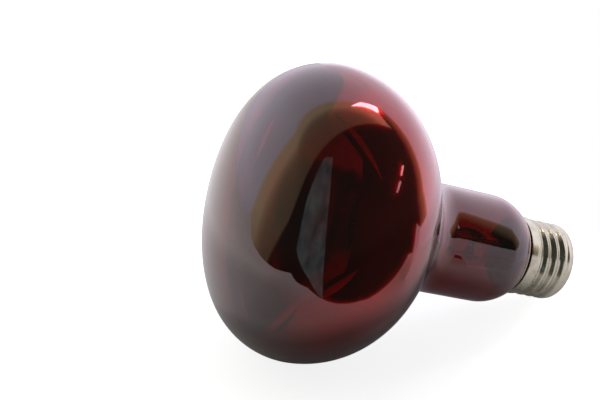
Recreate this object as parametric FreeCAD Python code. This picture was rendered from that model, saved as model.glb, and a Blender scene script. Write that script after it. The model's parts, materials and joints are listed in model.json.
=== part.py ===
import FreeCAD, Part
import math
import os

# Infrared reflector lamp with a 27 mm Edison screw cap, lying as it comes to rest.
# Lengths are in millimetres and angles in degrees.
# Each piece is drawn upright on the lamp's own axis: Z runs from the cap to the face, and the
# collar's rim is at height 0. The last section lays the whole lamp down on the ground.

# Glass envelope
HEAD_DIAMETER = 95.0
EQUATOR_HEIGHT = 78.0  # of the widest ring of the head, above the collar's rim
FACE_RADIUS = 86.0
RIM_RADIUS = 24.0
BACK_RADIUS = 34.0
BOWL_HALF_ANGLE = 57.0  # between the straight wall of the bowl and the axis
NECK_DIAMETER = 36.8
NECK_FILLET = 14.0
SHOULDER_RADIUS = 16.3
TAIL_DIAMETER = 21.6  # of the glass inside the cap
TAIL_DEPTH = 8.0
GLASS_WALL = 0.9

# Screw shell
THREAD_DIAMETER = 26.4
THREAD_DEPTH = 1.0
THREAD_PITCH = 25.4 / 7
FIRST_GROOVE_DEPTH = 4.6  # below the collar's rim, on the lamp's X axis
SHELL_WALL = 0.4
SHELL_LENGTH = 19.5
COLLAR_LENGTH = 3.0
COLLAR_STEP = 0.25  # from the thread's crests out to the collar
SHELL_END_RADIUS = 3.3
THREAD_FADE = 2.6  # length over which the groove deepens from nothing, at either end

# Insulator and contact
INSULATOR_HEIGHT = 3.0  # past the end of the shell
CONTACT_DIAMETER = 9.4
CONTACT_THICKNESS = 0.8
SOLDER_DIAMETER = 5.6
SOLDER_HEIGHT = 1.2

# Glass stem
STEM_DIAMETER = 9.0
STEM_WALL = 0.9
STEM_HEIGHT = 12.0  # of the top of the open tube, above the collar's rim
PINCH_WIDTH = 12.0
PINCH_THICKNESS = 3.6
PINCH_TAPER = 5.0  # length over which the round tube is pressed flat
PINCH_LENGTH = 7.0
EXHAUST_DIAMETER = 3.6
EXHAUST_WALL = 0.6
EXHAUST_DEPTH = 8.2  # of its sealed tip, below the collar's rim
ROD_DIAMETER = 2.6
BUTTON_DIAMETER = 4.8
BUTTON_LENGTH = 3.0

# Filament, its supports and the lead wires
FILAMENT_HEIGHT = 57.0
FILAMENT_RING_DIAMETER = 21.0
FILAMENT_COIL_DIAMETER = 1.1
FILAMENT_OPENING = 100.0  # angle between the two ends of the coil
FILAMENT_END = 6.0  # angle that the coil runs on past each lead wire
SUPPORT_COUNT = 4
SUPPORT_DIAMETER = 0.4
LEAD_DIAMETER = 0.7
LEAD_SPACING = 5.4  # between the two wires in the stem
LEAD_BEND_RISE = 1.5  # straight run above the pinch before the wires spread
LEAD_TURN_DEPTH = 9.6  # where the centre lead turns towards the axis, below the rim
LEAD_AXIS_DEPTH = 13.0  # where it reaches the axis

# Clearances
RIM_GAP = 0.25  # between the glass shoulder and the collar's rim
FIT_GAP = 0.05  # between pieces that are moulded, cemented or sealed together
HOLE_GAP = 0.1  # around a wire that passes through a hole

# Fineness of the thread's surface
COLUMNS = 48
ROWS_PER_PITCH = 16

AXIS = FreeCAD.Vector(0, 0, 1)
ORIGIN = FreeCAD.Vector(0, 0, 0)


def at(radius, height, azimuth=0.0):
    """A point at a radius from the axis, a height along it and an angle around it."""
    turn = math.radians(azimuth)
    return FreeCAD.Vector(radius * math.cos(turn), radius * math.sin(turn), height)


def on_arc(centre, radius, lean):
    """A point of an arc in the X-Z plane. The lean is its angle from +Z towards +X."""
    angle = math.radians(lean)
    return centre + FreeCAD.Vector(radius * math.sin(angle), 0, radius * math.cos(angle))


def arc(centre, radius, start, end):
    """An arc about a centre in the X-Z plane, from one lean to another."""
    points = [on_arc(centre, radius, lean) for lean in (start, (start + end) / 2, end)]
    return Part.Arc(*points).toShape()


def line(start, end):
    return Part.LineSegment(start, end).toShape()


def chain(runs):
    """Joins arcs and single points in order, with straight lines where they don't meet."""
    edges = []
    last = None
    for run in runs:
        is_point = isinstance(run, FreeCAD.Vector)
        first = run if is_point else run.firstVertex(True).Point
        if last is not None and first.distanceToPoint(last) > 1e-7:
            edges.append(line(last, first))
        if not is_point:
            edges.append(run)
        last = run if is_point else run.lastVertex(True).Point
    return edges


def turned(runs):
    """The solid that a closed outline makes when it is turned about the axis."""
    edges = chain(list(runs))
    first = edges[0].firstVertex(True).Point
    last = edges[-1].lastVertex(True).Point
    if first.distanceToPoint(last) > 1e-7:
        edges.append(line(last, first))
    return Part.Face(Part.Wire(edges)).revolve(ORIGIN, AXIS, 360)


def bent_wire(points, diameter):
    """A round wire along straight runs, with a ball at each bend."""
    pieces = []
    for start, end in zip(points, points[1:]):
        run = end - start
        pieces.append(Part.makeCylinder(diameter / 2, run.Length, start, run))
    for bend in points[1:-1]:
        pieces.append(Part.makeSphere(diameter / 2, bend))
    return pieces[0].multiFuse(pieces[1:]).removeSplitter()


# Values shared by several pieces
head_radius = HEAD_DIAMETER / 2
neck_radius = NECK_DIAMETER / 2
tail_radius = TAIL_DIAMETER / 2
shell_radius = THREAD_DIAMETER / 2
collar_radius = shell_radius + COLLAR_STEP
collar_bore = collar_radius - SHELL_WALL
bore_radius = shell_radius - SHELL_WALL
root_bore_radius = bore_radius - THREAD_DEPTH
lip_radius = shell_radius - SHELL_END_RADIUS
shell_end = -SHELL_LENGTH
bead_height = shell_end + SHELL_END_RADIUS
insulator_end = shell_end - INSULATOR_HEIGHT
contact_end = insulator_end - CONTACT_THICKNESS
lead_offset = LEAD_SPACING / 2
lead_radius = LEAD_DIAMETER / 2
pinch_top = STEM_HEIGHT + PINCH_TAPER + PINCH_LENGTH
coil_radius = FILAMENT_COIL_DIAMETER / 2
ring_radius = FILAMENT_RING_DIAMETER / 2

# Centres of the envelope's arcs
equator_offset = head_radius - RIM_RADIUS
face_lean = math.degrees(math.asin(equator_offset / (FACE_RADIUS - RIM_RADIUS)))
face_drop = (FACE_RADIUS - RIM_RADIUS) * math.cos(math.radians(face_lean))
face_centre = at(0, EQUATOR_HEIGHT - face_drop)
rim_centre = at(equator_offset, EQUATOR_HEIGHT)
back_centre = at(head_radius - BACK_RADIUS, EQUATOR_HEIGHT)
back_lean = 90 + BOWL_HALF_ANGLE
bowl_start = on_arc(back_centre, BACK_RADIUS, back_lean)
bowl_slope = math.tan(math.radians(BOWL_HALF_ANGLE))
bowl_foot = bowl_start.z - (bowl_start.x - neck_radius) / bowl_slope
fillet_drop = NECK_FILLET * math.tan(math.radians(BOWL_HALF_ANGLE / 2))
fillet_centre = at(neck_radius + NECK_FILLET, bowl_foot - fillet_drop)
shoulder_offset = neck_radius - SHOULDER_RADIUS
shoulder_at_rim = collar_bore - RIM_GAP - shoulder_offset
shoulder_centre = at(shoulder_offset, math.sqrt(SHOULDER_RADIUS**2 - shoulder_at_rim**2))


def envelope_outline(inset):
    """The envelope's skin from the face's middle to the tail's end, moved inwards by an inset."""
    tail = tail_radius - inset
    shoulder = SHOULDER_RADIUS - inset
    shoulder_end = 180 - math.degrees(math.asin((tail - shoulder_offset) / shoulder))
    return [
        arc(face_centre, FACE_RADIUS - inset, 0, face_lean),
        arc(rim_centre, RIM_RADIUS - inset, face_lean, 90),
        arc(back_centre, BACK_RADIUS - inset, 90, back_lean),
        arc(fillet_centre, NECK_FILLET + inset, 270 + BOWL_HALF_ANGLE, 270),
        arc(shoulder_centre, shoulder, 90, shoulder_end),
        at(tail, -TAIL_DEPTH),
    ]


def glass_envelope():
    """Blown glass of even thickness, open only at the tail's end, where the stem closes it."""
    outside = turned(envelope_outline(0) + [at(0, -TAIL_DEPTH)])
    inside = turned(envelope_outline(GLASS_WALL) + [at(0, -TAIL_DEPTH)])
    return outside.cut(inside)


def groove_depth(height, azimuth):
    """Depth of the rolled right-hand thread below its crests."""
    top = -COLLAR_LENGTH
    edge = min(top - height, height - bead_height)
    share = min(max(edge / THREAD_FADE, 0.0), 1.0)
    fade = share * share * (3 - 2 * share)
    turns = (height + FIRST_GROOVE_DEPTH) / THREAD_PITCH - azimuth / 360
    return THREAD_DEPTH * fade * (1 + math.cos(2 * math.pi * turns)) / 2


def rolled_wall(length, azimuth, inset):
    """A point of the shell's skin, at a length down from the thread's top, moved inwards by an inset."""
    top = -COLLAR_LENGTH + SHELL_WALL / 2
    height = top - length
    if height >= bead_height:
        return at(shell_radius - inset - groove_depth(height, azimuth), height, azimuth)
    bend = (bead_height - height) / SHELL_END_RADIUS
    end_radius = SHELL_END_RADIUS - inset
    radius = lip_radius + end_radius * math.cos(bend)
    return at(radius, bead_height - end_radius * math.sin(bend), azimuth)


def rolled_face(inset):
    """The threaded wall and the rounded end below it, as one smooth surface."""
    straight = -COLLAR_LENGTH + SHELL_WALL / 2 - bead_height
    length = straight + SHELL_END_RADIUS * math.pi / 2
    spans = math.ceil(length / THREAD_PITCH * ROWS_PER_PITCH)
    knots = [0] * 3 + list(range(spans + 1)) + [spans] * 3
    steps = [length * sum(knots[row + 1 : row + 4]) / 3 / spans for row in range(spans + 3)]
    swell = 3 / (2 + math.cos(2 * math.pi / COLUMNS))
    poles = []
    for column in range(COLUMNS):
        azimuth = 360 * column / COLUMNS
        points = [rolled_wall(step, azimuth, inset) for step in steps]
        poles.append([FreeCAD.Vector(p.x * swell, p.y * swell, p.z) for p in points])
    surface = Part.BSplineSurface()
    surface.buildFromPolesMultsKnots(
        poles,
        [1] * (COLUMNS + 1),
        [4] + [1] * (spans - 1) + [4],
        list(range(COLUMNS + 1)),
        list(range(spans + 1)),
        True,
        False,
        3,
        3,
    )
    return surface.toShape()


def screw_shell():
    """Thin metal, rolled so that the thread shows on both sides of the wall, with a wider collar."""
    outside = rolled_face(0)
    inside = rolled_face(SHELL_WALL)
    rims = [[edge for edge in face.Edges if edge.isClosed()] for face in (outside, inside)]
    ends = [Part.makeRuledSurface(outer, inner) for outer, inner in zip(*rims)]
    wall = Part.makeShell([outside, inside] + ends)
    wall.sewShape()
    thread = Part.makeSolid(wall)
    collar = turned(
        [
            at(collar_bore, 0),
            at(collar_radius, 0),
            at(collar_radius, -COLLAR_LENGTH),
            at(bore_radius - FIT_GAP, -COLLAR_LENGTH),
            at(bore_radius - FIT_GAP, SHELL_WALL - COLLAR_LENGTH),
            at(collar_bore, SHELL_WALL - COLLAR_LENGTH),
        ]
    )
    return collar.fuse(thread)


def basing_cement():
    """Fills the collar around the glass tail, and the bore of the thread below it."""
    shoulder_end = math.asin((tail_radius - shoulder_offset) / SHOULDER_RADIUS)
    top = shoulder_centre.z - SHOULDER_RADIUS * math.cos(shoulder_end) - FIT_GAP
    bottom = -TAIL_DEPTH
    inner = tail_radius + FIT_GAP
    return turned(
        [
            at(inner, top),
            at(collar_bore - FIT_GAP, top),
            at(collar_bore - FIT_GAP, SHELL_WALL - COLLAR_LENGTH),
            at(root_bore_radius - FIT_GAP, SHELL_WALL - COLLAR_LENGTH),
            at(root_bore_radius - FIT_GAP, bottom),
            at(inner, bottom),
        ]
    )


def cap_insulator():
    """Moulded into the shell's rounded end, with a hole for the centre lead."""
    hole = lead_radius + HOLE_GAP
    mould = SHELL_END_RADIUS - SHELL_WALL - FIT_GAP
    return turned(
        [
            at(hole, bead_height),
            arc(at(lip_radius, bead_height), mould, 90, 180),
            at(lip_radius - FIT_GAP, bead_height - mould),
            at(lip_radius - FIT_GAP, shell_end),
            at(CONTACT_DIAMETER / 2 + FIT_GAP, insulator_end),
            at(hole, insulator_end),
        ]
    )


def centre_contact():
    """A plain washer seated on the insulator."""
    washer = Part.makeCylinder(CONTACT_DIAMETER / 2, CONTACT_THICKNESS, at(0, contact_end))
    hole = Part.makeCylinder(lead_radius + HOLE_GAP, CONTACT_THICKNESS, at(0, contact_end))
    return washer.cut(hole)


def contact_solder():
    """A dome over the washer's hole and the end of the centre lead."""
    base = SOLDER_DIAMETER / 2
    radius = (base**2 + SOLDER_HEIGHT**2) / (2 * SOLDER_HEIGHT)
    spread = math.degrees(math.asin(base / radius))
    centre = at(0, contact_end - SOLDER_HEIGHT + radius)
    return turned([arc(centre, radius, 180 - spread, 180), at(0, contact_end)])


def glass_stem(wires):
    """Flare, tube, pinch, exhaust tube, rod and button, with the lead wires melted into the pinch."""
    outer = STEM_DIAMETER / 2
    inner = outer - STEM_WALL
    edge = tail_radius - GLASS_WALL - FIT_GAP
    flare = edge - outer
    flare_centre = at(edge, flare + STEM_WALL - TAIL_DEPTH)
    tube = turned(
        [
            at(inner, STEM_HEIGHT),
            at(outer, STEM_HEIGHT),
            arc(flare_centre, flare, 270, 180),
            arc(flare_centre, flare + STEM_WALL, 180, 270),
        ]
    )
    round_wire = Part.Wire(Part.makeCircle(outer, at(0, STEM_HEIGHT)))
    pinch_bottom = at(0, STEM_HEIGHT + PINCH_TAPER)
    oval = Part.Ellipse(ORIGIN, PINCH_WIDTH / 2, PINCH_THICKNESS / 2).toShape()
    oval.translate(pinch_bottom)
    flat_wire = Part.Wire(oval)
    taper = Part.makeLoft([round_wire, flat_wire], True, True)
    pinch = Part.Face(flat_wire).extrude(AXIS * PINCH_LENGTH)

    bulge = EXHAUST_DIAMETER / 2
    bore = bulge - EXHAUST_WALL
    tip_centre = at(0, bulge - EXHAUST_DEPTH)
    exhaust = turned(
        [
            at(bore, STEM_HEIGHT),
            at(bulge, STEM_HEIGHT),
            arc(tip_centre, bulge, 90, 180),
            arc(tip_centre, bore, 180, 90),
        ]
    )

    button_bottom = FILAMENT_HEIGHT - BUTTON_LENGTH
    rod = Part.makeCylinder(ROD_DIAMETER / 2, button_bottom - pinch_top, at(0, pinch_top))
    button = Part.makeCylinder(BUTTON_DIAMETER / 2, BUTTON_LENGTH, at(0, button_bottom))
    glass = tube.multiFuse([taper, pinch, exhaust, rod, button])
    for wire in wires:
        glass = glass.cut(wire)
    return glass


def filament_loop(azimuth, diameter):
    """A ring of wire that holds the coil at one place, with room for the coil inside it."""
    middle = at(ring_radius, FILAMENT_HEIGHT, azimuth)
    along = at(1, 0, azimuth + 90)
    radius = coil_radius + FIT_GAP + diameter / 2
    return Part.makeTorus(radius, diameter / 2, middle, along)


def loop_foot(azimuth, diameter):
    """The lowest point of such a ring's own centre line."""
    return at(ring_radius, FILAMENT_HEIGHT - coil_radius - FIT_GAP - diameter / 2, azimuth)


def filament():
    """The coil's outer shape: a ring that is open between the two lead wires."""
    start = FILAMENT_OPENING / 2 - 90
    sweep = 360 - FILAMENT_OPENING
    circle = Part.makeCircle(coil_radius, at(ring_radius, FILAMENT_HEIGHT), FreeCAD.Vector(0, 1, 0))
    coil = Part.Face(Part.Wire(circle)).revolve(ORIGIN, AXIS, sweep)
    coil.rotate(ORIGIN, AXIS, start)
    return coil


def lead_azimuth(side):
    """Angle around the axis at which a lead wire meets the coil. The side is 1 or -1."""
    return side * (FILAMENT_OPENING / 2 + FILAMENT_END) - 90


def upper_lead(side):
    """Bends of a lead wire above the pinch, up to its ring around the coil."""
    azimuth = lead_azimuth(side)
    spread = FreeCAD.Vector(side * lead_offset, 0, pinch_top + LEAD_BEND_RISE)
    return [loop_foot(azimuth, LEAD_DIAMETER), spread]


def centre_lead_wire():
    """Runs down through the pinch, turns to the axis and ends in the contact's hole."""
    bends = upper_lead(1) + [
        at(lead_offset, -LEAD_TURN_DEPTH),
        at(0, -LEAD_AXIS_DEPTH),
        at(0, contact_end),
    ]
    return bent_wire(bends, LEAD_DIAMETER).fuse(filament_loop(lead_azimuth(1), LEAD_DIAMETER))


def weld_height():
    """Height at which a groove passes the side lead, one turn or more below the glass tail."""
    groove = THREAD_PITCH / 2 - FIRST_GROOVE_DEPTH
    turns = math.ceil((groove + TAIL_DEPTH + LEAD_DIAMETER) / THREAD_PITCH)
    return groove - turns * THREAD_PITCH


def side_lead_wire():
    """Runs down through the pinch, turns outwards under the tail and ends at the shell's wall."""
    height = weld_height()
    bends = upper_lead(-1) + [
        at(-lead_offset, height),
        at(FIT_GAP - root_bore_radius, height),
    ]
    return bent_wire(bends, LEAD_DIAMETER).fuse(filament_loop(lead_azimuth(-1), LEAD_DIAMETER))


def filament_support(azimuth):
    """A wire from the button's side to a ring around the coil."""
    foot = loop_foot(azimuth, SUPPORT_DIAMETER)
    start = at(BUTTON_DIAMETER / 2 + FIT_GAP, FILAMENT_HEIGHT - BUTTON_LENGTH / 2, azimuth)
    return bent_wire([start, foot], SUPPORT_DIAMETER).fuse(filament_loop(azimuth, SUPPORT_DIAMETER))


def rest_tilt():
    """Slope of the axis when the head's back and the shell's rounded end both touch the ground."""
    across = back_centre.x - lip_radius
    along = back_centre.z - bead_height
    reach = math.hypot(across, along)
    lift = math.asin((BACK_RADIUS - SHELL_END_RADIUS) / reach)
    return math.degrees(math.atan2(across, along) + lift)


def build():
    centre_lead = centre_lead_wire()
    side_lead = side_lead_wire()
    pieces = {
        "glass_envelope": glass_envelope(),
        "screw_shell": screw_shell(),
        "basing_cement": basing_cement(),
        "cap_insulator": cap_insulator(),
        "centre_contact": centre_contact(),
        "contact_solder": contact_solder(),
        "glass_stem": glass_stem([centre_lead, side_lead]),
        "centre_lead_wire": centre_lead,
        "side_lead_wire": side_lead,
        "filament": filament(),
    }
    held_arc = 360 - FILAMENT_OPENING - 2 * FILAMENT_END
    for number in range(1, SUPPORT_COUNT + 1):
        azimuth = lead_azimuth(1) + held_arc * number / (SUPPORT_COUNT + 1)
        pieces[f"filament_support_{number}"] = filament_support(azimuth)
    return pieces


def lay_down(pieces):
    """Tips the lamp over, cap towards +X, and centres it on the ground."""
    tip = rest_tilt() - 90
    for shape in pieces.values():
        shape.rotate(ORIGIN, FreeCAD.Vector(0, 1, 0), tip)
    box = Part.makeCompound(list(pieces.values())).optimalBoundingBox(False, False)
    shift = FreeCAD.Vector(-(box.XMin + box.XMax) / 2, -(box.YMin + box.YMax) / 2, -box.ZMin)
    for shape in pieces.values():
        shape.translate(shift)


lamp = build()
lay_down(lamp)
os.makedirs("parts", exist_ok=True)
for node, solid in lamp.items():
    solid.exportStep(f"parts/{node}.step")
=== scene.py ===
import json
import math

import bpy
from mathutils import Matrix, Vector


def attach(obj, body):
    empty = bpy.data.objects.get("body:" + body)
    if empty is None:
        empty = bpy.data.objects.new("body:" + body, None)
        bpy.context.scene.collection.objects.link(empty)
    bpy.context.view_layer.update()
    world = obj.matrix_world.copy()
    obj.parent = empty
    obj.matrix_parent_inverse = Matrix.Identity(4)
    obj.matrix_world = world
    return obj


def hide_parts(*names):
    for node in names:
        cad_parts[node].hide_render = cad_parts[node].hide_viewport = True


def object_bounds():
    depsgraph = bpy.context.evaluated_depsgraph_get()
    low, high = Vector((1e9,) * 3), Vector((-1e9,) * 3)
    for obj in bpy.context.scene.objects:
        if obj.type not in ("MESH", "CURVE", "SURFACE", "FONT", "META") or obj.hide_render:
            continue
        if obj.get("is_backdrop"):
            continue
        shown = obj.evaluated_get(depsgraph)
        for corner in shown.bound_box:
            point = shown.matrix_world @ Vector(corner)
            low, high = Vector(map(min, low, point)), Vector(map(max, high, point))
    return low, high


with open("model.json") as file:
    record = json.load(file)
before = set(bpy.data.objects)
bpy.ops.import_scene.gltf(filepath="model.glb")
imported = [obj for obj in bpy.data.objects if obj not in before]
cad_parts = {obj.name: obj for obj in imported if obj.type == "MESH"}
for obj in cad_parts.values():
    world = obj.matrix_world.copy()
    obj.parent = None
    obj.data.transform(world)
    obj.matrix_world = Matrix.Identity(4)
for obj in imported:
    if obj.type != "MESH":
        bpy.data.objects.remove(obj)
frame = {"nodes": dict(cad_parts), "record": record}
cad_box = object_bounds()

# Infrared reflector lamp: the glass, the screw cap and the coil as they look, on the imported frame.
# Lengths are in millimetres and angles in degrees, and MM turns a length into metres.
# The lamp's own Z axis runs from the cap to the face, and the collar's rim is at height 0.
# A lean is an angle from that axis, and an azimuth is an angle round it.
MM = 0.001

# Glass envelope
HEAD_DIAMETER = 95.0
EQUATOR_HEIGHT = 78.0
FACE_RADIUS = 86.0
RIM_RADIUS = 24.0
BACK_RADIUS = 34.0
BOWL_HALF_ANGLE = 57.0
NECK_DIAMETER = 36.8
NECK_FILLET = 14.0
SHOULDER_RADIUS = 16.3
TAIL_DIAMETER = 21.6
TAIL_DEPTH = 8.0
GLASS_WALL = 0.9
RIM_GAP = 0.25
GLASS_SEGMENTS = 192
FACE_ROWS = 22  # of the mesh, like the other counts of rows
RIM_ROWS = 36
BACK_ROWS = 28
BOWL_ROWS = 6
FILLET_ROWS = 16
NECK_ROWS = 10
SHOULDER_ROWS = 22
TAIL_ROWS = 3

# Tint of the glass: a height as a share of the span, and the red, green and blue that one wall lets through
TINT_SPAN = 110.0
TINT_UNEVENNESS = 0.04  # how far the tints stray, as a share of the span
GLASS_TINTS = [
    (0.30, 0.33, 0.008, 0.014),
    (0.42, 0.60, 0.014, 0.028),
    (0.54, 0.61, 0.014, 0.030),
    (0.63, 0.72, 0.016, 0.034),
    (0.70, 0.66, 0.015, 0.032),
    (0.76, 0.50, 0.012, 0.024),
    (0.84, 0.34, 0.008, 0.017),
    (0.92, 0.26, 0.007, 0.013),
]

# Aluminium film on the inside of the bowl and the rim, with bare streaks near its front edge
FILM_GAP = 0.03  # between the film and the glass
FILM_BACK = 38.0  # height at which the film starts
FILM_FRONT_LEAN = 70.0  # lean at which it ends on the rim
FILM_WAVES = [(3, 2.0, 0.0), (7, 1.0, 1.0)]  # how that edge wanders, for the function waves
FILM_ROWS = 5
STREAK_LEAN = 85.0
# Azimuth of each streak, half its reach round the rim and half its width
STREAKS = [(82, 11, 1.4), (163, 13, 1.6), (236, 14, 1.8), (264, 10, 3.2), (321, 15, 2.5)]
STREAK_MARGIN = 5.0  # least width of the film in front of a streak
CLIMB_AZIMUTH = 292.0  # on both sides of this azimuth the streaks climb towards the face
CLIMB_START = 14.0  # how far from there the climb starts
CLIMB_END_BELOW = 110.0  # and how far from there it is over, at smaller azimuths
CLIMB_END_ABOVE = 68.0  # and at greater ones
CLIMB_SLOPE = 1.15
CLIMB_LIMIT = 31.0

# Screw shell
THREAD_DIAMETER = 26.4
THREAD_DEPTH = 1.0
THREAD_PITCH = 25.4 / 7
FIRST_GROOVE_DEPTH = 4.6
SHELL_WALL = 0.4
SHELL_LENGTH = 19.5
COLLAR_LENGTH = 3.0
COLLAR_STEP = 0.25
SHELL_END_RADIUS = 3.3
THREAD_FADE = 2.6
EDGE_ROUNDING = 0.12
SHELL_SEGMENTS = 240
ROWS_PER_PITCH = 24
EDGE_ROWS = 5
COLLAR_ROWS = 4
SHELL_END_ROWS = 20
INNER_END_ROWS = 8
INNER_STEP = 3  # rows outside for each one inside

# Insulator, contact and solder
INSULATOR_HEIGHT = 3.0
INSULATOR_GAP = 0.05
INSULATOR_BORE_RADIUS = 0.6
INSULATOR_SHOULDER = [(0.0, 0.1), (0.25, 0.4)]  # corners below the shell, as steps inwards and down
INSULATOR_LIP = [(0.5, 0.35), (0.2, 0.08), (0.0, 0.0)]  # corners at the contact, as steps outwards and up
INSULATOR_ROWS = 8
CONE_ROWS = 6
CONTACT_DIAMETER = 9.4
CONTACT_THICKNESS = 0.8
CONTACT_BORE_RADIUS = 0.5
CONTACT_BEVEL_WIDTH = 0.1
CONTACT_BEVEL_HEIGHT = 0.15
CONTACT_ROUNDING = 0.3
CONTACT_ROWS = 6
SOLDER_DIAMETER = 5.6
SOLDER_HEIGHT = 1.2
SOLDER_FILL = 0.92  # share of the full radius that the solder reaches
SOLDER_LUMPS = [(3, 0.05, 0.7), (5, 0.03, 2.1)]  # how its outline bulges, for the function waves
SOLDER_ROWS = 14
CAP_SEGMENTS = 96

# Filament
FILAMENT_HEIGHT = 57.0
FILAMENT_RING_DIAMETER = 21.0
FILAMENT_COIL_DIAMETER = 1.1
FILAMENT_OPENING = 100.0
FILAMENT_WIRE = 0.16
FILAMENT_TURNS = 140
STEPS_PER_TURN = 14
WIRE_SIDES = 6

# Camera, fitted to the photograph's 600 x 400 frame
IMAGE_WIDTH = 600
FOCAL_PIXELS = 1217.87
SENSOR_WIDTH = 36.0
CAMERA_PLACE = Vector((-149.97, -320.85, 219.93))
CAMERA_AIM = Vector((0.3027, 0.8437, -0.4433))
CLIP_START = 10.0
CLIP_END = 10000.0

# White floor. Its edge shows in the glass, and its painted glow grows with the distance from the lamp,
# leaving painted shade near the lamp.
FLOOR_OUTLINE = [
    (97, -93), (41, -87), (-7, -85), (-37, -92), (-148, -119), (-225, -104), (-359, -99),
    (-384, -31), (-385, 76), (-370, 120), (-415, 204), (-549, 325), (-1379, 1006), (97, 1006),
]  # (x, y)
LAMP_MIDDLE = Vector((-10, 0, 0))  # below the lamp
FLOOR_REACH = 150.0
FLOOR_SHARES = (0.5, 1, 1)  # how much each axis counts in the distance
# Painted light: how brightly the floor glows, by its distance from the lamp as a share of the reach; none
# near the lamp, which is painted shade
FLOOR_PAINTED_GLOW = [(0.18, 0.0), (0.28, 0.17), (0.4, 0.2), (0.6, 0.24), (0.73, 0.32), (0.93, 0.48)]
FLOOR_SEEN_NEAR = 0.84  # glow for the camera at the lamp, which leaves its shadow
FLOOR_SEEN_FAR = 1.0
FLOOR_SEEN_START = 0.2  # in shares of the reach, like the places in FLOOR_PAINTED_GLOW
FLOOR_SEEN_END = 0.6
HEAD_FOOT = Vector((-25, -10, 0))  # middle of the painted shade on the floor, under the head, where it is darkest
HEAD_SHADE_START = 40.0  # distances from there over which the painted shade gives way to the painted glow
HEAD_SHADE_END = 65.0

# White wall near the cap, with a dim fringe at its front edge
WALL_X = 97.0
WALL_BACK = 360.0
WALL_HEIGHT = 200.0
WALL_EDGE = -34.0  # where the white of the wall ends at the front
WALL_FRINGE = 30.0  # width of the dim strip in front of that
WALL_FRINGE_LEVELS = [(0.0, 0.03), (0.2, 0.12), (0.5, 0.28), (0.75, 0.4), (0.92, 0.7)]
WALL_BEND = 65.0  # height from which the edge leans back
WALL_LEAN = 0.62
WALL_SKIRT = 26.0  # height below which the white covers the strip as well
WALL_SKIRT_BLEND = 10.0
WALL_LEVEL = 1.26
WALL_SHARES = [(0.0, 0.66), (0.1, 0.73), (0.2, 1.0), (0.33, 1.0), (0.6, 0.73)]  # by share of its height

# White card in front of the neck
CARD_Y = -60.0
CARD_OUTLINE = [(38, 0), (100, 0), (100, 30), (70, 40), (56, 48), (44, 43), (38, 30)]  # (x, z)
CARD_LEVEL = 0.1

# Window and lights that show in the glass. Their corners are a bearing and an angle above the horizon.
FAR = 400.0
FARTHER = 4000.0
WINDOW_OUTLINE = [(-65, 63), (-42, 14), (-34, -22), (-53, -4), (-77, 12), (-83, 32), (-79, 58)]
WINDOW_LEVEL = 1.0
SOFT_BOX_OUTLINE = [(150, 75), (134, 66), (114, 48), (110, 56)]
SOFT_BOX_LEVEL = 7.0
UPPER_TUBE_OUTLINE = [(77.1, 25.6), (79.0, 24.1), (70.6, 22.8), (68.9, 24.1)]
UPPER_TUBE_LEVEL = 2.8
LOWER_TUBE_OUTLINE = [(64.5, 23.1), (67.0, 21.3), (58.0, 19.0), (56.4, 20.0)]
LOWER_TUBE_LEVEL = 1.6

# Room: white behind the lamp, a tan fringe, and dark in front
DAYLIGHT = (0.87, 0.87, 1.0)
TAN = (0.87, 0.73, 0.47)
DARK_SIDE = (0.04, 0.046, 0.039)
FRINGE_DIRECTION = (0.314, 1.0, -0.108)
FRINGE_START = -0.19  # reach in that direction at which the fringe starts
FRINGE_END = 0.4
FRINGE_LEVELS = [(0.0, 0.28), (0.5, 0.36), (0.64, 0.43), (0.74, 0.66), (0.8, 0.92), (0.95, 0.98)]
LIT_DIRECTION = (0, 1.0, 0.3)
LIT_START = 0.32  # reach in that direction at which the dark side ends
LIT_END = 0.345
ROOM_LEVEL = 1.0
ROOM_LEVEL_BELOW = 0.75
HORIZON_START = -0.12  # rise from which the level goes up
HORIZON_END = 0.05

# The lamp's frame, from the mount at the middle of its collar
mount = frame["record"]["mounts"][0]
to_cap = Vector(mount["axis"]).normalized()
rim_middle = Vector(mount["pos_m"]) - to_cap * COLLAR_LENGTH / 2 * MM
sideways = Vector((0, 1, 0))
upwards = sideways.cross(-to_cap)
LAMP = Matrix((upwards, sideways, -to_cap)).transposed().to_4x4()
LAMP.translation = rim_middle


def at(radius, height, azimuth=0.0):
    """A point in the lamp's frame, in millimetres."""
    turn = math.radians(azimuth)
    return Vector((radius * math.cos(turn), radius * math.sin(turn), height))


def spaced(start, end, count):
    """Evenly spaced values, both ends included."""
    return [start + (end - start) * step / (count - 1) for step in range(count)]


def on_arc(centre, radius, lean):
    """(radius, height) of a point on an arc."""
    angle = math.radians(lean)
    return (centre[0] + radius * math.sin(angle), centre[1] + radius * math.cos(angle))


def arc(centre, radius, start, end, count):
    """Points of an arc from one lean to another."""
    return [on_arc(centre, radius, lean) for lean in spaced(start, end, count)]


def run(start, end, count):
    """Points of a straight stretch, its two ends left out."""
    shares = spaced(0, 1, count + 2)[1:-1]
    return [tuple(a + (b - a) * share for a, b in zip(start, end)) for share in shares]


def waves(parts, azimuth):
    """Sum of waves round the axis, each with a count, a size and a start in radians."""
    turn = math.radians(azimuth)
    return sum(size * math.sin(count * turn + start) for count, size, start in parts)


# Meshes


def new_piece(name, node, points, faces, materials, kinds=()):
    """A smooth mesh in the lamp's frame that rides on the lamp and stands for a CAD node.

    Kinds give each face the number of its material, if there is more than one."""
    mesh = bpy.data.meshes.new(name)
    mesh.from_pydata([LAMP @ (Vector(point) * MM) for point in points], [], faces)
    mesh.validate()
    mesh.shade_smooth()
    for material in materials:
        mesh.materials.append(material)
    if kinds:
        mesh.polygons.foreach_set("material_index", kinds)
    piece = bpy.data.objects.new(name, mesh)
    bpy.context.scene.collection.objects.link(piece)
    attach(piece, "root")
    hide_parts(node)


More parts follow.
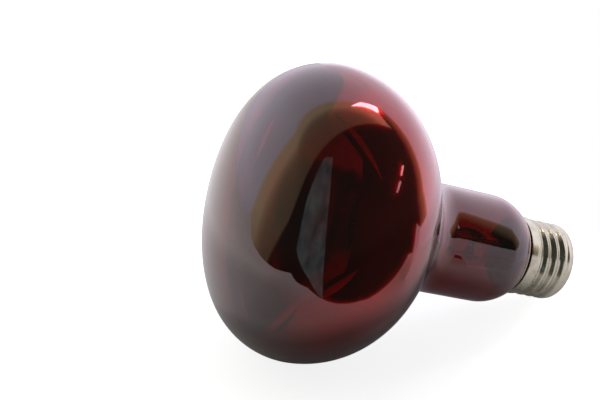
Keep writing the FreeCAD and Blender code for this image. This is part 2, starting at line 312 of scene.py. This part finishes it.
def turned(rows, segments, closed, shape=at):
    """Points and faces of rows of (radius, height) turned about the axis.

    A closed outline joins its last row to its first. A shape makes
    a point from a row's two values and an azimuth."""
    points = []
    rings = []
    for radius, height in rows:
        first = len(points)
        if radius == 0:
            points.append(at(0, height))
            rings.append([first] * segments)
            continue
        for column in range(segments):
            points.append(shape(radius, height, 360 * column / segments))
        rings.append(list(range(first, first + segments)))
    faces = []
    pairs = list(zip(rings, rings[1:]))
    if closed:
        pairs.append((rings[-1], rings[0]))
    for upper, lower in pairs:
        for column in range(segments):
            beside = (column + 1) % segments
            corners = [upper[column], lower[column], lower[beside], upper[beside]]
            corners = list(dict.fromkeys(corners))
            if len(corners) > 2:
                faces.append(corners)
    return points, faces


def tube(path, radius, sides):
    """Points and faces of a round wire along a path, with closed ends."""
    points = []
    across = None
    for place, here in enumerate(path):
        before = path[max(place - 1, 0)]
        after = path[min(place + 1, len(path) - 1)]
        along = (after - before).normalized()
        if across is None:
            across = along.orthogonal().normalized()
        across = (across - along * across.dot(along)).normalized()
        beside = along.cross(across)
        for side in range(sides):
            turn = 2 * math.pi * side / sides
            points.append(here + (across * math.cos(turn) + beside * math.sin(turn)) * radius)
    faces = [list(range(sides))[::-1], list(range(len(points) - sides, len(points)))]
    for ring in range(len(path) - 1):
        for side in range(sides):
            first = ring * sides + side
            second = ring * sides + (side + 1) % sides
            faces.append([first, second, second + sides, first + sides])
    return points, faces


# Materials


class Nodes:
    """A node tree, with short ways to add the nodes that several materials share."""

    def __init__(self, tree):
        self.tree = tree

    def ramp(self, value, *stops):
        """A colour that runs through stops of (value, red, green, blue)."""
        node = self.tree.nodes.new("ShaderNodeValToRGB")
        while len(node.color_ramp.elements) < len(stops):
            node.color_ramp.elements.new(0.5)
        for element, (position, *colour) in zip(node.color_ramp.elements, stops):
            element.position = position
            element.color = (*colour, 1)
        self.tree.links.new(value, node.inputs["Fac"])
        return node.outputs["Color"]

    def grey_ramp(self, value, stops):
        """A grey that runs through stops of (value, grey)."""
        return self.ramp(value, *[(place, grey, grey, grey) for place, grey in stops])

    def tan_fringe(self, value, levels):
        """From the levels of a tan fringe, as shares of white, to daylight."""
        stops = [(place, *[level * part for part in TAN]) for place, level in levels]
        return self.ramp(value, *stops, (1.0, *DAYLIGHT))

    def spread(self, value, low, high, start=0.3, end=0.7):
        """Maps a value between start and end to one between low and high."""
        node = self.tree.nodes.new("ShaderNodeMapRange")
        for name, number in zip(("From Min", "From Max", "To Min", "To Max"), (start, end, low, high)):
            node.inputs[name].default_value = number
        self.tree.links.new(value, node.inputs["Value"])
        return node.outputs["Result"]

    def measure(self, operation, source, other):
        """One number from a vector and a fixed vector."""
        node = self.tree.nodes.new("ShaderNodeVectorMath")
        node.operation = operation
        node.inputs[1].default_value = other
        self.tree.links.new(source, node.inputs[0])
        return node.outputs["Value"]

    def along(self, source, direction):
        """How far a vector reaches in a direction."""
        return self.measure("DOT_PRODUCT", source, direction)

    def distance(self, source, place, shares):
        """Distance from a place, of which each axis counts with its own share."""
        node = self.tree.nodes.new("ShaderNodeVectorMath")
        node.operation = "MULTIPLY"
        node.inputs[1].default_value = shares
        self.tree.links.new(source, node.inputs[0])
        scaled = [part * share for part, share in zip(place, shares)]
        return self.measure("DISTANCE", node.outputs["Vector"], scaled)

    def blend(self, share, colour, other):
        """From a fixed colour to another one by a share."""
        node = self.tree.nodes.new("ShaderNodeMixRGB")
        node.inputs["Color1"].default_value = (*colour, 1)
        self.tree.links.new(share, node.inputs["Fac"])
        self.tree.links.new(other, node.inputs["Color2"])
        return node.outputs["Color"]

    def math(self, operation, value, other):
        """One number from two others."""
        node = self.tree.nodes.new("ShaderNodeMath")
        node.operation = operation
        self.tree.links.new(value, node.inputs[0])
        self.tree.links.new(other, node.inputs[1])
        return node.outputs["Value"]

    def camera_ray(self):
        """1 for what the camera sees directly, and 0 for the rest."""
        return self.tree.nodes.new("ShaderNodeLightPath").outputs["Is Camera Ray"]


class Shader(Nodes):
    """A material's nodes. Its textures lie in the lamp's frame, so they follow the lamp's own axis."""

    def __init__(self, name):
        self.material = bpy.data.materials.new(name)
        self.material.use_nodes = True
        super().__init__(self.material.node_tree)
        self.surface = self.tree.nodes["Principled BSDF"]
        self.world_place = self.tree.nodes.new("ShaderNodeTexCoord").outputs["Object"]
        to_lamp = self.tree.nodes.new("ShaderNodeMapping")
        to_lamp.vector_type = "TEXTURE"
        to_lamp.inputs["Location"].default_value = LAMP.translation
        to_lamp.inputs["Rotation"].default_value = LAMP.to_euler()
        self.tree.links.new(self.world_place, to_lamp.inputs["Vector"])
        self.place = to_lamp.outputs["Vector"]

    def set(self, **values):
        """Constant values on the surface's own sockets, with _ for a space in a socket's name."""
        for name, value in values.items():
            self.surface.inputs[name.replace("_", " ")].default_value = value

    def drive(self, socket, source):
        """Links a source to one of the surface's sockets."""
        self.tree.links.new(source, self.surface.inputs[socket])

    def noise(self, size, detail=3.0, stretch=(1, 1, 1)):
        """Noise from 0 to 1 with features of about a size in millimetres."""
        mapping = self.tree.nodes.new("ShaderNodeMapping")
        mapping.inputs["Scale"].default_value = [1 / (size * MM * factor) for factor in stretch]
        self.tree.links.new(self.place, mapping.inputs["Vector"])
        texture = self.tree.nodes.new("ShaderNodeTexNoise")
        texture.inputs["Scale"].default_value = 1.0
        texture.inputs["Detail"].default_value = detail
        self.tree.links.new(mapping.outputs["Vector"], texture.inputs["Vector"])
        return texture.outputs["Fac"]

    def bump(self, height, depth):
        """Moves the surface's normal as if a height from 0 to 1 were a depth in millimetres."""
        node = self.tree.nodes.new("ShaderNodeBump")
        node.inputs["Distance"].default_value = depth * MM
        self.tree.links.new(height, node.inputs["Height"])
        self.drive("Normal", node.outputs["Normal"])


def red_glass():
    """Deep red glass, paler where blowing stretched it thin, with faint waves and a few smears."""
    shader = Shader("red_glass")
    shader.set(IOR=1.52, Transmission_Weight=1.0, Coat_Weight=1.0, Coat_IOR=1.5, Coat_Roughness=0.0)
    height = shader.spread(shader.along(shader.place, (0, 0, 1 / MM)), 0, 1, 0, TINT_SPAN)
    uneven = shader.spread(shader.noise(25, 2), -TINT_UNEVENNESS, TINT_UNEVENNESS)
    tint = shader.ramp(shader.math("ADD", height, uneven), *GLASS_TINTS)
    shader.drive("Base Color", tint)
    shader.drive("Roughness", shader.spread(shader.noise(14, 5), 0.0, 0.02, 0.5, 0.8))
    shader.bump(shader.noise(16, 1), 0.04)
    return shader.material


def aluminium_film():
    """Bright film laid on the inside of the glass, slightly clouded."""
    shader = Shader("aluminium_film")
    shader.set(Metallic=1.0)
    tone = shader.ramp(shader.noise(9, 4), (0.3, 0.80, 0.80, 0.81), (0.7, 0.89, 0.89, 0.90))
    shader.drive("Base Color", tone)
    shader.drive("Roughness", shader.spread(shader.noise(6, 4), 0.11, 0.2))
    return shader.material


def nickel_plate():
    """Bright warm plate on rolled sheet, with fine drawing marks round it and dull patches."""
    shader = Shader("nickel_plate")
    shader.set(Metallic=1.0)
    tones = [(0.3, 0.57, 0.51, 0.41), (0.5, 0.71, 0.65, 0.52), (0.75, 0.78, 0.72, 0.59)]
    shader.drive("Base Color", shader.ramp(shader.noise(4, 5), *tones))
    shader.drive("Roughness", shader.spread(shader.noise(2.5, 5), 0.14, 0.32))
    shader.bump(shader.noise(0.5, 3, (6, 6, 0.5)), 0.006)
    return shader.material


def basing_cement():
    """Baked cement with a grainy, dull skin."""
    shader = Shader("basing_cement")
    tone = shader.ramp(shader.noise(0.8, 6), (0.3, 0.34, 0.28, 0.21), (0.7, 0.60, 0.52, 0.41))
    shader.drive("Base Color", tone)
    shader.drive("Roughness", shader.spread(shader.noise(0.5, 4), 0.8, 0.98))
    shader.bump(shader.noise(0.4, 5), 0.08)
    return shader.material


def black_glass():
    """Moulded glass with a slightly rippled, glossy skin."""
    shader = Shader("black_glass")
    tone = shader.ramp(shader.noise(3, 4), (0.3, 0.008, 0.008, 0.010), (0.7, 0.026, 0.024, 0.028))
    shader.drive("Base Color", tone)
    shader.drive("Roughness", shader.spread(shader.noise(1.2, 4), 0.06, 0.2))
    shader.bump(shader.noise(1.5, 2), 0.05)
    return shader.material


def metal(name, dark, light, size, rough, depth):
    """Bare metal with two tones in patches of a size, a range of roughness and shallow marks."""
    shader = Shader(name)
    shader.set(Metallic=1.0)
    shader.drive("Base Color", shader.ramp(shader.noise(size, 4), (0.3, *dark), (0.7, *light)))
    shader.drive("Roughness", shader.spread(shader.noise(size / 2, 4), *rough))
    shader.bump(shader.noise(size / 4, 3), depth)
    return shader.material


def clear_glass():
    """Fused lamp glass with faint cords and dull spots."""
    shader = Shader("clear_glass")
    shader.set(IOR=1.51, Transmission_Weight=1.0)
    tone = shader.ramp(shader.noise(4, 2), (0.3, 0.84, 0.90, 0.87), (0.7, 0.93, 0.96, 0.94))
    shader.drive("Base Color", tone)
    shader.drive("Roughness", shader.spread(shader.noise(2, 4), 0.0, 0.05))
    shader.bump(shader.noise(2.5, 2), 0.06)
    return shader.material


# Sizes that follow from the named ones

head_radius = HEAD_DIAMETER / 2
neck_radius = NECK_DIAMETER / 2
tail_radius = TAIL_DIAMETER / 2
shell_radius = THREAD_DIAMETER / 2
collar_radius = shell_radius + COLLAR_STEP
lip_radius = shell_radius - SHELL_END_RADIUS
shell_end = -SHELL_LENGTH
bead_height = shell_end + SHELL_END_RADIUS
insulator_end = shell_end - INSULATOR_HEIGHT
contact_end = insulator_end - CONTACT_THICKNESS

face_lean = math.degrees(math.asin((head_radius - RIM_RADIUS) / (FACE_RADIUS - RIM_RADIUS)))
face_drop = (FACE_RADIUS - RIM_RADIUS) * math.cos(math.radians(face_lean))
face_centre = (0, EQUATOR_HEIGHT - face_drop)
rim_centre = (head_radius - RIM_RADIUS, EQUATOR_HEIGHT)
back_centre = (head_radius - BACK_RADIUS, EQUATOR_HEIGHT)
back_lean = 90 + BOWL_HALF_ANGLE
bowl_start = on_arc(back_centre, BACK_RADIUS, back_lean)
bowl_foot = bowl_start[1] - (bowl_start[0] - neck_radius) / math.tan(math.radians(BOWL_HALF_ANGLE))
fillet_drop = NECK_FILLET * math.tan(math.radians(BOWL_HALF_ANGLE / 2))
fillet_centre = (neck_radius + NECK_FILLET, bowl_foot - fillet_drop)
shoulder_offset = neck_radius - SHOULDER_RADIUS
shoulder_at_rim = collar_radius - SHELL_WALL - RIM_GAP - shoulder_offset
shoulder_centre = (shoulder_offset, math.sqrt(SHOULDER_RADIUS**2 - shoulder_at_rim**2))


# Glass envelope with its film


def envelope_rows(inset):
    """The envelope's skin from the face's middle to the tail's end, moved inwards by an inset."""
    tail = tail_radius - inset
    shoulder = SHOULDER_RADIUS - inset
    shoulder_lean = 180 - math.degrees(math.asin((tail - shoulder_offset) / shoulder))
    face = arc(face_centre, FACE_RADIUS - inset, 0, face_lean, FACE_ROWS)
    rim = arc(rim_centre, RIM_RADIUS - inset, face_lean, 90, RIM_ROWS)
    back = arc(back_centre, BACK_RADIUS - inset, 90, back_lean, BACK_ROWS)
    fillet = arc(fillet_centre, NECK_FILLET + inset, 270 + BOWL_HALF_ANGLE, 270, FILLET_ROWS)
    turn_in = arc(shoulder_centre, shoulder, 90, shoulder_lean, SHOULDER_ROWS)
    end = (tail, -TAIL_DEPTH)
    bowl = run(back[-1], fillet[0], BOWL_ROWS)
    neck = run(fillet[-1], turn_in[0], NECK_ROWS)
    last = run(turn_in[-1], end, TAIL_ROWS)
    return face + rim[1:] + back[1:] + bowl + fillet + neck + turn_in + last + [end]


def streak_edge(azimuth, side):
    """Lean of an edge of the bare streaks: the back one for side 1, the front one for side -1."""
    off = abs(azimuth - CLIMB_AZIMUTH)
    end = CLIMB_END_BELOW if azimuth < CLIMB_AZIMUTH else CLIMB_END_ABOVE
    climb = CLIMB_SLOPE * max(0, min(off - CLIMB_START, end - off))
    climb = min(climb, CLIMB_LIMIT)
    widths = [width * (1 - ((azimuth - middle) / reach) ** 2) for middle, reach, width in STREAKS]
    return STREAK_LEAN - climb + side * max(0, *widths)


def film_edge(azimuth):
    """Lean of the film's ragged front edge, which stays in front of the streaks."""
    ragged = FILM_FRONT_LEAN + waves(FILM_WAVES, azimuth)
    return min(ragged, streak_edge(azimuth, -1) - STREAK_MARGIN)


def film_on_rim(start, end):
    """Points and faces of a band of the film between two edges, each a lean by its azimuth."""

    def shape(radius, share, azimuth):
        lean = start(azimuth) + (end(azimuth) - start(azimuth)) * share
        return at(*on_arc(rim_centre, radius, lean), azimuth)

    radius = RIM_RADIUS - GLASS_WALL - FILM_GAP
    rows = [(radius, share) for share in spaced(0, 1, FILM_ROWS)]
    return turned(rows, GLASS_SEGMENTS, False, shape)


def film_bands():
    """The film in the bowl, on the rim behind the streaks, and from there to its front edge."""
    skin = envelope_rows(GLASS_WALL + FILM_GAP)
    bowl = [(radius, height) for radius, height in skin if FILM_BACK < height <= EQUATOR_HEIGHT]
    return [
        turned(bowl, GLASS_SEGMENTS, False),
        film_on_rim(lambda azimuth: 90, lambda azimuth: streak_edge(azimuth, 1)),
        film_on_rim(lambda azimuth: streak_edge(azimuth, -1), film_edge),
    ]


def glass_envelope():
    """Outer and inner skin of the glass, joined at the tail's end, with the film inside."""
    outside = envelope_rows(0)
    inside = envelope_rows(GLASS_WALL)
    points, faces = turned(outside + inside[::-1], GLASS_SEGMENTS, False)
    kinds = [0] * len(faces)
    for film_points, film_faces in film_bands():
        faces += [[len(points) + corner for corner in face] for face in film_faces]
        kinds += [1] * len(film_faces)
        points += film_points
    materials = [red_glass(), aluminium_film()]
    new_piece("red_glass_envelope", "glass_envelope", points, faces, materials, kinds)


# Screw shell


def groove_depth(height, azimuth):
    """Depth of the rolled right-hand thread below its crests."""
    edge = min(-COLLAR_LENGTH - height, height - bead_height)
    share = min(max(edge / THREAD_FADE, 0.0), 1.0)
    fade = share * share * (3 - 2 * share)
    turns = (height + FIRST_GROOVE_DEPTH) / THREAD_PITCH - azimuth / 360
    return THREAD_DEPTH * fade * (1 + math.cos(2 * math.pi * turns)) / 2


def rolled(radius, height, azimuth):
    """A point of the shell, moved inwards by the thread's groove."""
    return at(radius - groove_depth(height, azimuth), height, azimuth)


def screw_shell():
    """Rolled cap: a plain collar with soft edges, the thread, and a rounded end turned inwards."""
    rounding = EDGE_ROUNDING
    rows = round(ROWS_PER_PITCH * (-COLLAR_LENGTH - bead_height) / THREAD_PITCH)
    heights = spaced(-COLLAR_LENGTH - rounding, bead_height, rows)
    lip = (lip_radius, bead_height)
    rim = arc((collar_radius - rounding, -rounding), rounding, 0, 90, EDGE_ROWS)
    foot = arc((collar_radius - rounding, rounding - COLLAR_LENGTH), rounding, 90, 180, EDGE_ROWS)
    outside = rim + run(rim[-1], foot[0], COLLAR_ROWS) + foot
    outside += [(shell_radius, height) for height in heights]
    outside += arc(lip, SHELL_END_RADIUS, 90, 180, SHELL_END_ROWS)[1:]
    inside = arc(lip, SHELL_END_RADIUS - SHELL_WALL, 180, 90, INNER_END_ROWS)
    inside += [(shell_radius - SHELL_WALL, height) for height in heights[-2::-INNER_STEP]]
    inside += [(collar_radius - SHELL_WALL, -COLLAR_LENGTH), (collar_radius - SHELL_WALL, -rounding)]
    inside += [(collar_radius - SHELL_WALL + rounding / 2, 0)]
    points, faces = turned(outside + inside, SHELL_SEGMENTS, True, rolled)
    new_piece("nickel_screw_shell", "screw_shell", points, faces, [nickel_plate()])


# Insulator, contact and solder


def cap_insulator():
    """Black glass plug that fills the shell's rounded end, with a soft shoulder and a lip."""
    mould = SHELL_END_RADIUS - SHELL_WALL - INSULATOR_GAP
    edge = CONTACT_DIAMETER / 2 + INSULATOR_GAP
    seat = lip_radius - INSULATOR_GAP
    shoulder = [(seat - inwards, shell_end - down) for inwards, down in INSULATOR_SHOULDER]
    lip = [(edge + outwards, insulator_end + up) for outwards, up in INSULATOR_LIP]
    cone = run(shoulder[-1], lip[0], CONE_ROWS)
    plug = [(INSULATOR_BORE_RADIUS, bead_height)]
    plug += arc((lip_radius, bead_height), mould, 90, 180, INSULATOR_ROWS)
    plug += [(seat, bead_height - mould)] + shoulder + cone + lip
    plug += [(INSULATOR_BORE_RADIUS, insulator_end)]
    points, faces = turned(plug, CAP_SEGMENTS, True)
    new_piece("black_glass_insulator", "cap_insulator", points, faces, [black_glass()])


def centre_contact():
    """Stamped washer with a bevel on the insulator's side and a rounded outer edge."""
    radius = CONTACT_DIAMETER / 2
    corner = (radius - CONTACT_ROUNDING, contact_end + CONTACT_ROUNDING)
    washer = [(CONTACT_BORE_RADIUS, insulator_end)]
    washer += [(radius - CONTACT_BEVEL_WIDTH, insulator_end), (radius, insulator_end - CONTACT_BEVEL_HEIGHT)]
    washer += arc(corner, CONTACT_ROUNDING, 90, 180, CONTACT_ROWS)
    washer += [(CONTACT_BORE_RADIUS, contact_end)]
    points, faces = turned(washer, CAP_SEGMENTS, True)
    brass = metal("contact_brass", (0.50, 0.37, 0.16), (0.78, 0.62, 0.34), 1.6, (0.2, 0.42), 0.01)
    new_piece("brass_contact", "centre_contact", points, faces, [brass])


def lumpy(radius, height, azimuth):
    """A point of the solder, whose outline bulges a little here and there."""
    return at(radius * (SOLDER_FILL + waves(SOLDER_LUMPS, azimuth)), height, azimuth)


def contact_solder():
    """A low, lumpy dome of solder on the contact."""
    base = SOLDER_DIAMETER / 2
    ball = (base**2 + SOLDER_HEIGHT**2) / (2 * SOLDER_HEIGHT)
    spread = math.degrees(math.asin(base / ball))
    dome = arc((0, contact_end - SOLDER_HEIGHT + ball), ball, 180 - spread, 180, SOLDER_ROWS)
    dome = [(0, contact_end)] + dome[:-1] + [(0, contact_end - SOLDER_HEIGHT)]
    points, faces = turned(dome, CAP_SEGMENTS, False, lumpy)
    tin = metal("solder", (0.40, 0.40, 0.41), (0.68, 0.68, 0.67), 1.2, (0.25, 0.5), 0.03)
    new_piece("solder_dome", "contact_solder", points, faces, [tin])


# Filament


def filament():
    """A close tungsten helix that runs round the ring from one lead wire to the other."""
    sweep = 360 - FILAMENT_OPENING
    start = FILAMENT_OPENING / 2 - 90
    reach = (FILAMENT_COIL_DIAMETER - FILAMENT_WIRE) / 2
    count = FILAMENT_TURNS * STEPS_PER_TURN
    path = []
    for step in range(count + 1):
        azimuth = start + sweep * step / count
        turn = 2 * math.pi * step / STEPS_PER_TURN
        radius = FILAMENT_RING_DIAMETER / 2 + reach * math.cos(turn)
        path.append(at(radius, FILAMENT_HEIGHT + reach * math.sin(turn), azimuth))
    points, faces = tube(path, FILAMENT_WIRE / 2, WIRE_SIDES)
    tungsten = metal("tungsten", (0.20, 0.20, 0.21), (0.34, 0.34, 0.36), 2.0, (0.3, 0.5), 0.005)
    new_piece("tungsten_coil", "filament", points, faces, [tungsten])


def dress(nodes, material):
    """Gives CAD nodes that keep their own shape a material."""
    for node in nodes:
        mesh = frame["nodes"][node].data
        mesh.materials.clear()
        mesh.materials.append(material)


glass_envelope()
screw_shell()
cap_insulator()
centre_contact()
contact_solder()
filament()
wire = metal("nickel_wire", (0.46, 0.44, 0.40), (0.68, 0.66, 0.61), 1.0, (0.2, 0.4), 0.005)
support = metal("support_wire", (0.34, 0.34, 0.35), (0.52, 0.52, 0.53), 1.0, (0.25, 0.45), 0.005)
dress(["basing_cement"], basing_cement())
dress(["glass_stem"], clear_glass())
dress(["centre_lead_wire", "side_lead_wire"], wire)
dress([node for node in frame["nodes"] if node.startswith("filament_support")], support)

# Stage: the floor, and what lights the lamp or shows in its glass


def stage_sheet(name, corners, material, seen=False):
    """A flat sheet that isn't part of the lamp. The camera sees it only if seen is true."""
    mesh = bpy.data.meshes.new(name)
    mesh.from_pydata([Vector(corner) * MM for corner in corners], [], [list(range(len(corners)))])
    mesh.materials.append(material)
    sheet = bpy.data.objects.new(name, mesh)
    bpy.context.scene.collection.objects.link(sheet)
    sheet.visible_camera = seen
    sheet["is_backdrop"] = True


def towards(bearing, height, reach=FAR):
    """A far point in a direction. Bearing 0 is the side of -Y, and it grows towards +X."""
    turn = math.radians(bearing)
    rise = math.radians(height)
    level = reach * math.cos(rise)
    return Vector((level * math.sin(turn), -level * math.cos(turn), reach * math.sin(rise)))


def paper(name, size, tone):
    """The shader of white paper with faint fibres of a size, ready to glow white."""
    shader = Shader(name)
    fibres = shader.grey_ramp(shader.noise(size, 2), [(0.3, 0.95 * tone), (0.7, tone)])
    shader.drive("Base Color", fibres)
    shader.set(Roughness=0.9, Specular_IOR_Level=0.1, Emission_Color=(1, 1, 1, 1))
    return shader


def white_floor():
    """White paper that the camera sees as white, with the lamp's shadow left on it. It also has a painted
    glow that grows away from the lamp, with painted shade under the head, and the glass shows both.
    """
    shader = paper("white_floor", 60, 0.78)
    reach = shader.distance(shader.world_place, LAMP_MIDDLE * MM, FLOOR_SHARES)
    reach = shader.spread(reach, 0, 1, 0, FLOOR_REACH * MM)
    bright = shader.spread(reach, FLOOR_SEEN_NEAR, FLOOR_SEEN_FAR, FLOOR_SEEN_START, FLOOR_SEEN_END)
    white = shader.math("MULTIPLY", shader.camera_ray(), bright)
    # painted light from the floor, which grows with the distance from the lamp
    glow = shader.grey_ramp(reach, FLOOR_PAINTED_GLOW)
    # painted shade: the glow is taken out under the head
    beside = shader.distance(shader.world_place, HEAD_FOOT * MM, (1, 1, 1))
    clear = shader.spread(beside, 0, 1, HEAD_SHADE_START * MM, HEAD_SHADE_END * MM)
    glow = shader.math("MULTIPLY", glow, clear)
    shader.drive("Emission Strength", shader.math("ADD", white, glow))
    return shader.material


def white_card():
    """White card that glows a little."""
    shader = paper("white_card", 30, 0.84)
    shader.set(Emission_Strength=CARD_LEVEL)
    return shader.material


def glow_only(shader, colour):
    """Makes a surface that reflects nothing and glows in a colour."""
    shader.set(Base_Color=(0, 0, 0, 1), Roughness=1.0, Specular_IOR_Level=0.0)
    shader.drive("Emission Color", colour)


def wall_material():
    """White that fades into a tan fringe at the front edge and changes with the height."""
    shader = Shader("white_wall")
    rise = shader.along(shader.world_place, (0, 0, 1 / MM))
    lean = shader.spread(rise, 0, -WALL_LEAN * (WALL_HEIGHT - WALL_BEND), WALL_BEND, WALL_HEIGHT)
    skirt = shader.spread(rise, WALL_FRINGE, 0, WALL_SKIRT, WALL_SKIRT + WALL_SKIRT_BLEND)
    reach = shader.math("ADD", shader.along(shader.world_place, (0, 1 / MM, 0)), lean)
    reach = shader.math("ADD", reach, skirt)
    share = shader.spread(reach, 0, 1, WALL_EDGE - WALL_FRINGE, WALL_EDGE)
    glow_only(shader, shader.tan_fringe(share, WALL_FRINGE_LEVELS))
    height = shader.spread(rise, 0, 1, 0, WALL_HEIGHT)
    level = shader.spread(shader.grey_ramp(height, WALL_SHARES), 0, WALL_LEVEL, 0, 1)
    shader.drive("Emission Strength", level)
    return shader.material


def window_material():
    """A dim window with cloudy panes."""
    shader = Shader("window")
    glow_only(shader, shader.ramp(shader.noise(70, 5), (0.3, 0.08, 0.155, 0.16), (0.7, 0.28, 0.42, 0.42)))
    shader.set(Emission_Strength=WINDOW_LEVEL)
    return shader.material


def light_material(name, level):
    """A light that glows in slightly uneven white."""
    shader = Shader(name)
    glow_only(shader, shader.ramp(shader.noise(90, 2), (0.3, 0.86, 0.86, 0.95), (0.7, 0.92, 0.92, 1.0)))
    shader.set(Emission_Strength=level)
    return shader.material


front = WALL_EDGE - WALL_FRINGE
wall_outline = [
    (WALL_X, front, 0),
    (WALL_X, WALL_BACK, 0),
    (WALL_X, WALL_BACK, WALL_HEIGHT),
    (WALL_X, front + WALL_LEAN * (WALL_HEIGHT - WALL_BEND), WALL_HEIGHT),
    (WALL_X, front, WALL_BEND),
]
lights = [
    ("soft_box", SOFT_BOX_OUTLINE, FAR, SOFT_BOX_LEVEL),
    ("upper_tube", UPPER_TUBE_OUTLINE, FARTHER, UPPER_TUBE_LEVEL),
    ("lower_tube", LOWER_TUBE_OUTLINE, FARTHER, LOWER_TUBE_LEVEL),
]
stage_sheet("floor", [(x, y, 0) for x, y in FLOOR_OUTLINE], white_floor(), True)
stage_sheet("right_wall", wall_outline, wall_material())
stage_sheet("front_card", [(x, CARD_Y, z) for x, z in CARD_OUTLINE], white_card())
stage_sheet("window", [towards(*corner) for corner in WINDOW_OUTLINE], window_material())
for name, outline, reach, level in lights:
    stage_sheet(name, [towards(*corner, reach) for corner in outline], light_material(name, level))


def surroundings():
    """A room that is white behind the lamp and dark in front, and plain white to the camera."""
    world = bpy.data.worlds.new("surroundings")
    bpy.context.scene.world = world
    world.use_nodes = True
    nodes = Nodes(world.node_tree)
    nodes.tree.nodes.clear()
    place = nodes.tree.nodes.new("ShaderNodeTexCoord").outputs["Generated"]
    share = nodes.spread(nodes.along(place, FRINGE_DIRECTION), 0, 1, FRINGE_START, FRINGE_END)
    fringe = nodes.tan_fringe(share, FRINGE_LEVELS)
    lit = nodes.spread(nodes.along(place, LIT_DIRECTION), 0, 1, LIT_START, LIT_END)
    rise = nodes.along(place, (0, 0, 1))
    level = nodes.spread(rise, ROOM_LEVEL_BELOW, ROOM_LEVEL, HORIZON_START, HORIZON_END)
    room = nodes.tree.nodes.new("ShaderNodeBackground")
    nodes.tree.links.new(nodes.blend(lit, DARK_SIDE, fringe), room.inputs["Color"])
    nodes.tree.links.new(level, room.inputs["Strength"])
    white = nodes.tree.nodes.new("ShaderNodeBackground")
    white.inputs["Color"].default_value = (1, 1, 1, 1)
    mix = nodes.tree.nodes.new("ShaderNodeMixShader")
    output = nodes.tree.nodes.new("ShaderNodeOutputWorld")
    nodes.tree.links.new(nodes.camera_ray(), mix.inputs["Fac"])
    nodes.tree.links.new(room.outputs["Background"], mix.inputs[1])
    nodes.tree.links.new(white.outputs["Background"], mix.inputs[2])
    nodes.tree.links.new(mix.outputs["Shader"], output.inputs["Surface"])


surroundings()

# Camera

camera = bpy.data.objects.new("camera", bpy.data.cameras.new("camera"))
bpy.context.scene.collection.objects.link(camera)
camera.data.sensor_width = SENSOR_WIDTH
camera.data.lens = SENSOR_WIDTH * FOCAL_PIXELS / IMAGE_WIDTH
camera.data.clip_start = CLIP_START * MM
camera.data.clip_end = CLIP_END * MM
camera.location = CAMERA_PLACE * MM
camera.rotation_mode = "QUATERNION"
camera.rotation_quaternion = CAMERA_AIM.to_track_quat("-Z", "Y")
bpy.context.scene.camera = camera
bpy.context.scene.view_settings.view_transform = "Standard"

boxes = {"cad": cad_box, "visual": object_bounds()}
{name: [list(corner) for corner in box] for name, box in boxes.items()}
